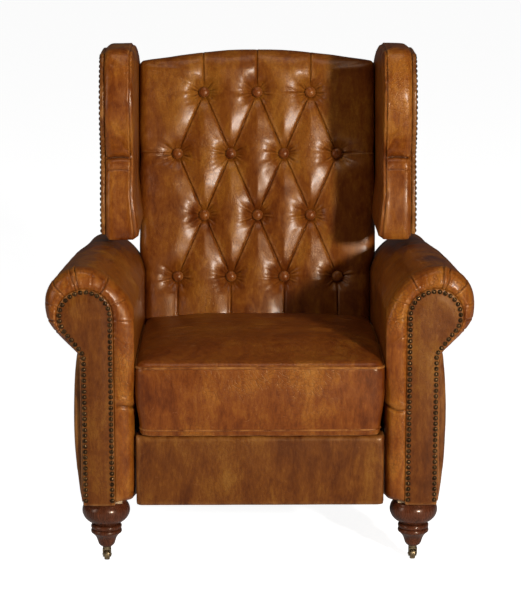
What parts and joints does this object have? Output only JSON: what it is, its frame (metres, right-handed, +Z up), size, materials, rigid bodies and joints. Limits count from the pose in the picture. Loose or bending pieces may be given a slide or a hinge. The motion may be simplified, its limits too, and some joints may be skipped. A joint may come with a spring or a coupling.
{
  "type": "recliner armchair",
  "caption": "Push-back wing recliner with scroll arms, deep-buttoned back, boxed seat cushion, fold-out footrest and turned front legs on small casters.",
  "frame": {"origin": "centre of the chair's box, on the floor", "axes": "+Z up, -Y the way the sitter faces, X across the chair"},
  "size_m": [0.876, 0.83, 1.0371],
  "materials": {
    "leather": "satin, mottled",
    "dark_leather": "satin",
    "frame_wood": "raw",
    "leg_wood": "dark stain, lacquered",
    "foam": "foam",
    "cloth": "woven",
    "jute": "woven",
    "steel": "zinc plated",
    "black_steel": "satin",
    "brass": "antique",
    "nylon": "matt"
  },
  "bodies": {
    "base": {"left_arm_frame": "frame_wood", "right_arm_frame": "frame_wood", "left_arm_pad": "leather", "right_arm_pad": "leather", "left_arm_facing": "leather", "right_arm_facing": "leather", "left_arm_outer_panel": "leather", "right_arm_outer_panel": "leather", "arm_nails": "brass", "arm_rear_panels": "leather", "left_front_leg": "leg_wood", "right_front_leg": "leg_wood", "left_rear_leg": "leg_wood", "right_rear_leg": "leg_wood", "rear_leg_pads": "nylon", "leg_bolts": "steel", "front_cross_rail": "frame_wood", "rear_cross_rail": "frame_wood", "dust_cover": "cloth", "left_glide_channel": "black_steel", "right_glide_channel": "black_steel", "channel_blocks": "frame_wood", "channel_screws": "steel"},
    "seat": {"seat_side_rails": "frame_wood", "seat_front_rail": "frame_wood", "seat_rear_rail": "frame_wood", "left_seat_plate": "black_steel", "right_seat_plate": "black_steel", "glide_shoes": "nylon", "glide_bolts": "steel", "seat_springs": "steel", "spring_clips": "steel", "seat_deck": "cloth", "seat_cushion_cover": "leather", "seat_cushion_foam": "foam", "back_pivot_bolts": "steel"},
    "back": {"back_frame": "frame_wood", "back_webbing": "jute", "back_cushion": "leather", "back_buttons": "dark_leather", "outside_back_panel": "leather", "left_wing_pad": "leather", "right_wing_pad": "leather", "wing_boards": "frame_wood", "left_wing_outer_panel": "leather", "right_wing_outer_panel": "leather", "wing_nails": "brass", "back_brackets": "black_steel"},
    "front_links": {"front_links": "black_steel", "torque_tube": "black_steel"},
    "rear_links": {"rear_links": "black_steel"},
    "carrier_links": {"carrier_links": "black_steel"},
    "steady_links": {"steady_links": "black_steel"},
    "footrest": {"footrest_board": "frame_wood", "footrest_pad": "leather", "footrest_brackets": "black_steel"},
    "left_caster": {"left_caster_fork": "brass"},
    "right_caster": {"right_caster_fork": "brass"},
    "left_wheel": {"left_caster_wheel": "brass"},
    "right_wheel": {"right_caster_wheel": "brass"}
  },
  "joints": [
    {"name": "seat_glide", "type": "slide", "parent": "base", "child": "seat", "axis": [0, -1, 0], "range_m": [0, 0.06]},
    {"name": "recline", "type": "hinge", "parent": "seat", "child": "back", "pos_m": [0, 0.20206, 0.25], "axis": [-1, 0, 0], "range_deg": [0, 30]},
    {"name": "front_link_swing", "type": "hinge", "parent": "seat", "child": "front_links", "pos_m": [0, -0.311, 0.226], "axis": [-1, 0, 0], "range_deg": [0, 138]},
    {"name": "rear_link_swing", "type": "hinge", "parent": "seat", "child": "rear_links", "pos_m": [0, -0.28638, 0.21838], "axis": [-1, 0, 0], "range_deg": [0, 135.28]},
    {"name": "carrier_swing", "type": "hinge", "parent": "front_links", "child": "carrier_links", "pos_m": [0, -0.17289, 0.15563], "axis": [-1, 0, 0], "range_deg": [-93, 0]},
    {"name": "steady_link_swing", "type": "hinge", "parent": "front_links", "child": "steady_links", "pos_m": [0, -0.19687, 0.16785], "axis": [-1, 0, 0], "range_deg": [-101.47, 0]},
    {"name": "footrest_tilt", "type": "hinge", "parent": "carrier_links", "child": "footrest", "pos_m": [0, -0.348, 0.165], "axis": [-1, 0, 0], "range_deg": [0, 40]},
    {"name": "left_caster_swivel", "type": "hinge", "parent": "base", "child": "left_caster", "pos_m": [-0.3205, -0.357, 0.04], "axis": [0, 0, 1], "continuous": true},
    {"name": "left_wheel_spin", "type": "hinge", "parent": "left_caster", "child": "left_wheel", "pos_m": [-0.3205, -0.348, 0.0125], "axis": [1, 0, 0], "continuous": true},
    {"name": "right_caster_swivel", "type": "hinge", "parent": "base", "child": "right_caster", "pos_m": [0.3205, -0.357, 0.04], "axis": [0, 0, 1], "continuous": true},
    {"name": "right_wheel_spin", "type": "hinge", "parent": "right_caster", "child": "right_wheel", "pos_m": [0.3205, -0.348, 0.0125], "axis": [1, 0, 0], "continuous": true}
  ],
  "couplings": [
    {"joint": "seat_glide", "follows": "recline", "m_per_rad": 0.11459},
    {"joint": "front_link_swing", "follows": "recline", "ratio": 4.6},
    {"joint": "rear_link_swing", "follows": "recline", "ratio": 4.5094},
    {"joint": "carrier_swing", "follows": "recline", "ratio": -3.1},
    {"joint": "steady_link_swing", "follows": "recline", "ratio": -3.3825},
    {"joint": "footrest_tilt", "follows": "recline", "ratio": 1.3333}
  ]
}
